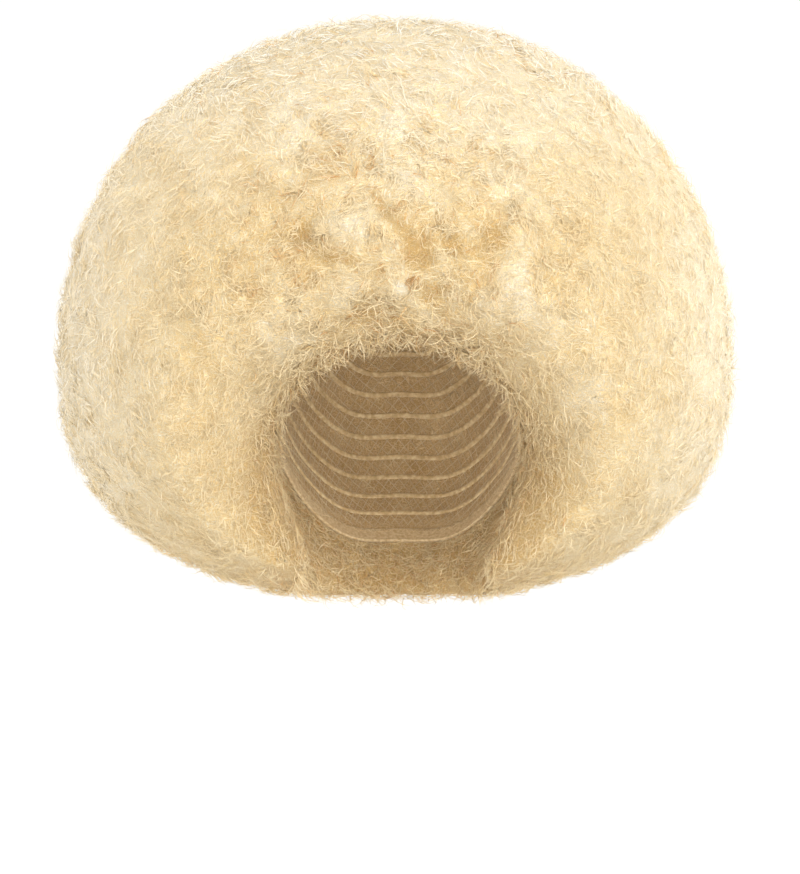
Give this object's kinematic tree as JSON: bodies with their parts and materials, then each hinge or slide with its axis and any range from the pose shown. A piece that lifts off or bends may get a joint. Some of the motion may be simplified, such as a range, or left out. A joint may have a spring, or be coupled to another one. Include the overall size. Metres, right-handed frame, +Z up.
{
  "type": "afro wig",
  "caption": "Large round afro wig: crimped hair in sewn wefts over a stretch net cap with an elastic edge, open at the face and neck.",
  "frame": {"origin": "inside of the cap at the top of the crown, where the wig sits on a head", "axes": "+Z up, the face looks along -Y, +X is the wearer's left"},
  "size_m": [0.4273, 0.369, 0.3698],
  "materials": {
    "hair": "crimped blonde fibre, matt with a soft sheen",
    "cap": "matt stretch net",
    "band": "woven elastic"
  },
  "bodies": {
    "root": {"net_cap": "cap", "edge_band": "band", "weft_1": "hair", "weft_2": "hair", "weft_3": "hair", "weft_4": "hair", "weft_5": "hair", "weft_6": "hair", "weft_7": "hair"}
  },
  "joints": []
}
